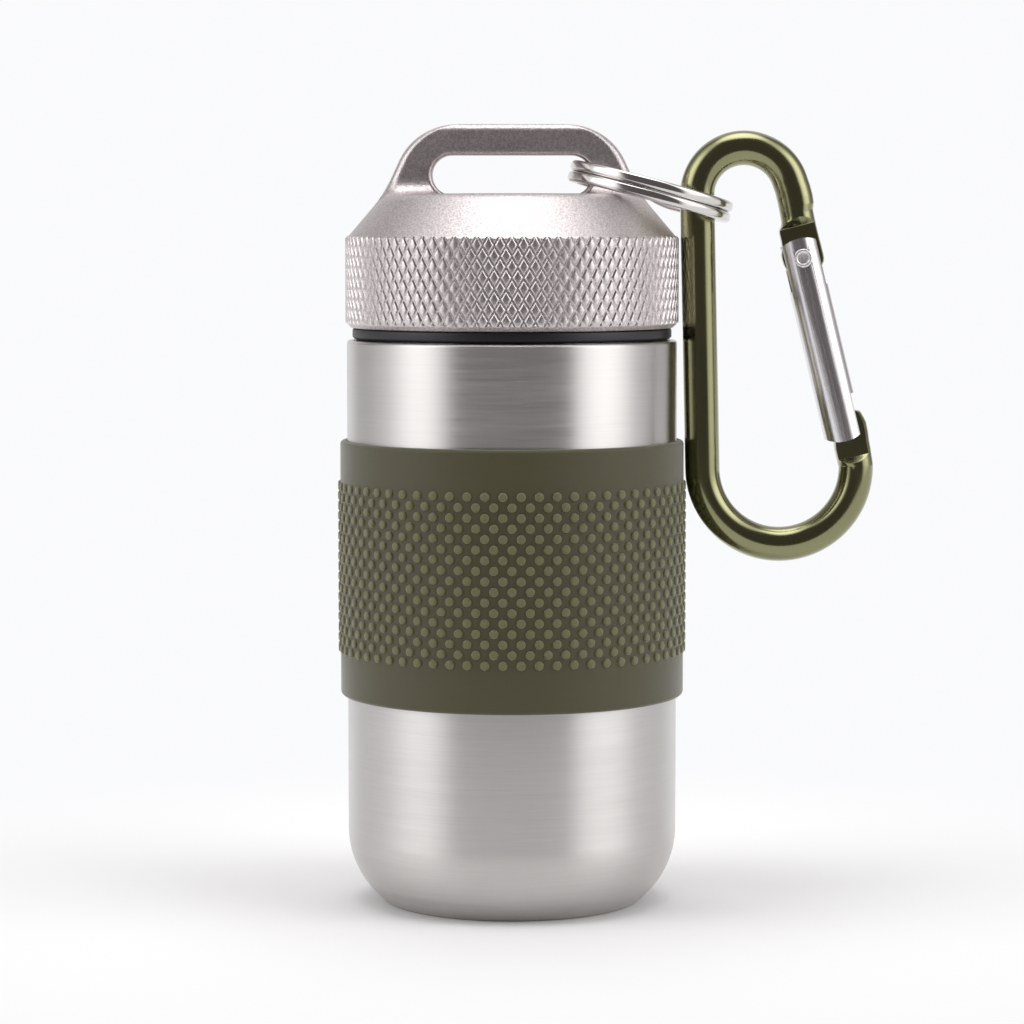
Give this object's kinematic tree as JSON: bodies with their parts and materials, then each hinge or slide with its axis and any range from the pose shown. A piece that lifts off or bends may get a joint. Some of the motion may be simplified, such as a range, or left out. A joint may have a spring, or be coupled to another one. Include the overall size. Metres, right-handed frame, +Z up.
{
  "type": "waterproof storage capsule",
  "caption": "Pocket-size steel storage capsule with screw cap, grip sleeve and shoulder gasket, and a split ring that joins its handle to a small gated carabiner.",
  "frame": {"origin": "middle of the flat base that the capsule stands on", "axes": "+Z up along the capsule, +X along the handle towards the carabiner, +Y towards the back of the handle"},
  "size_m": [0.0617, 0.0398, 0.0898],
  "materials": {
    "brushed_steel": "stainless steel, brushed round the wall",
    "turned_steel": "stainless steel, as turned",
    "silicone": "matt olive silicone with raised dots",
    "black_rubber": "black rubber, slightly glossy",
    "clear_silicone": "milky silicone",
    "blasted_metal": "stainless steel, bead blasted",
    "polished_steel": "nickel plated spring steel, polished",
    "olive_metal": "glossy olive anodised",
    "aluminium": "bare satin aluminium",
    "spring_steel": "drawn spring steel"
  },
  "bodies": {
    "canister": {"body_cup": "brushed_steel", "neck_ring": "turned_steel", "grip_sleeve": "silicone", "shoulder_gasket": "black_rubber"},
    "cap_lift": {"cap_seal": "clear_silicone"},
    "cap": {"cap_shell": "blasted_metal"},
    "ring": {"split_ring": "polished_steel"},
    "carabiner": {"carabiner_frame": "olive_metal", "gate_rivet": "aluminium"},
    "gate": {"carabiner_gate": "aluminium", "gate_spring": "spring_steel"},
    "plunger": {"gate_plunger": "spring_steel"}
  },
  "joints": [
    {"name": "cap_rise", "type": "slide", "parent": "canister", "child": "cap_lift", "axis": [0, 0, 1], "range_m": [0, 0.0097]},
    {"name": "cap_turn", "type": "hinge", "parent": "cap_lift", "child": "cap", "pos_m": [0, 0, 0.06655], "axis": [0, 0, 1], "range_deg": [0, 1440]},
    {"name": "ring_tilt", "type": "hinge", "parent": "cap", "child": "ring", "pos_m": [0.00733, 0, 0.08403], "axis": [0, 1, 0], "range_deg": [-100, 0]},
    {"name": "carabiner_swing", "type": "hinge", "parent": "ring", "child": "carabiner", "pos_m": [0.02452, 0, 0.07945], "axis": [0, 1, 0], "range_deg": [-50, 0]},
    {"name": "gate_swing", "type": "hinge", "parent": "carabiner", "child": "gate", "pos_m": [0.03356, 0, 0.07456], "axis": [0, 1, 0], "range_deg": [0, 22], "stiffness_Nm_per_rad": 0.02, "springref_deg": -9.74},
    {"name": "plunger_slide", "type": "slide", "parent": "gate", "child": "plunger", "axis": [0.2436, 0, -0.9699], "range_m": [0, 0.00031], "deforming": ["gate_spring"]}
  ],
  "couplings": [
    {"joint": "cap_rise", "follows": "cap_turn", "m_per_rad": 0.00038197},
    {"joint": "plunger_slide", "follows": "gate_swing", "m_per_rad": 0.00078}
  ]
}
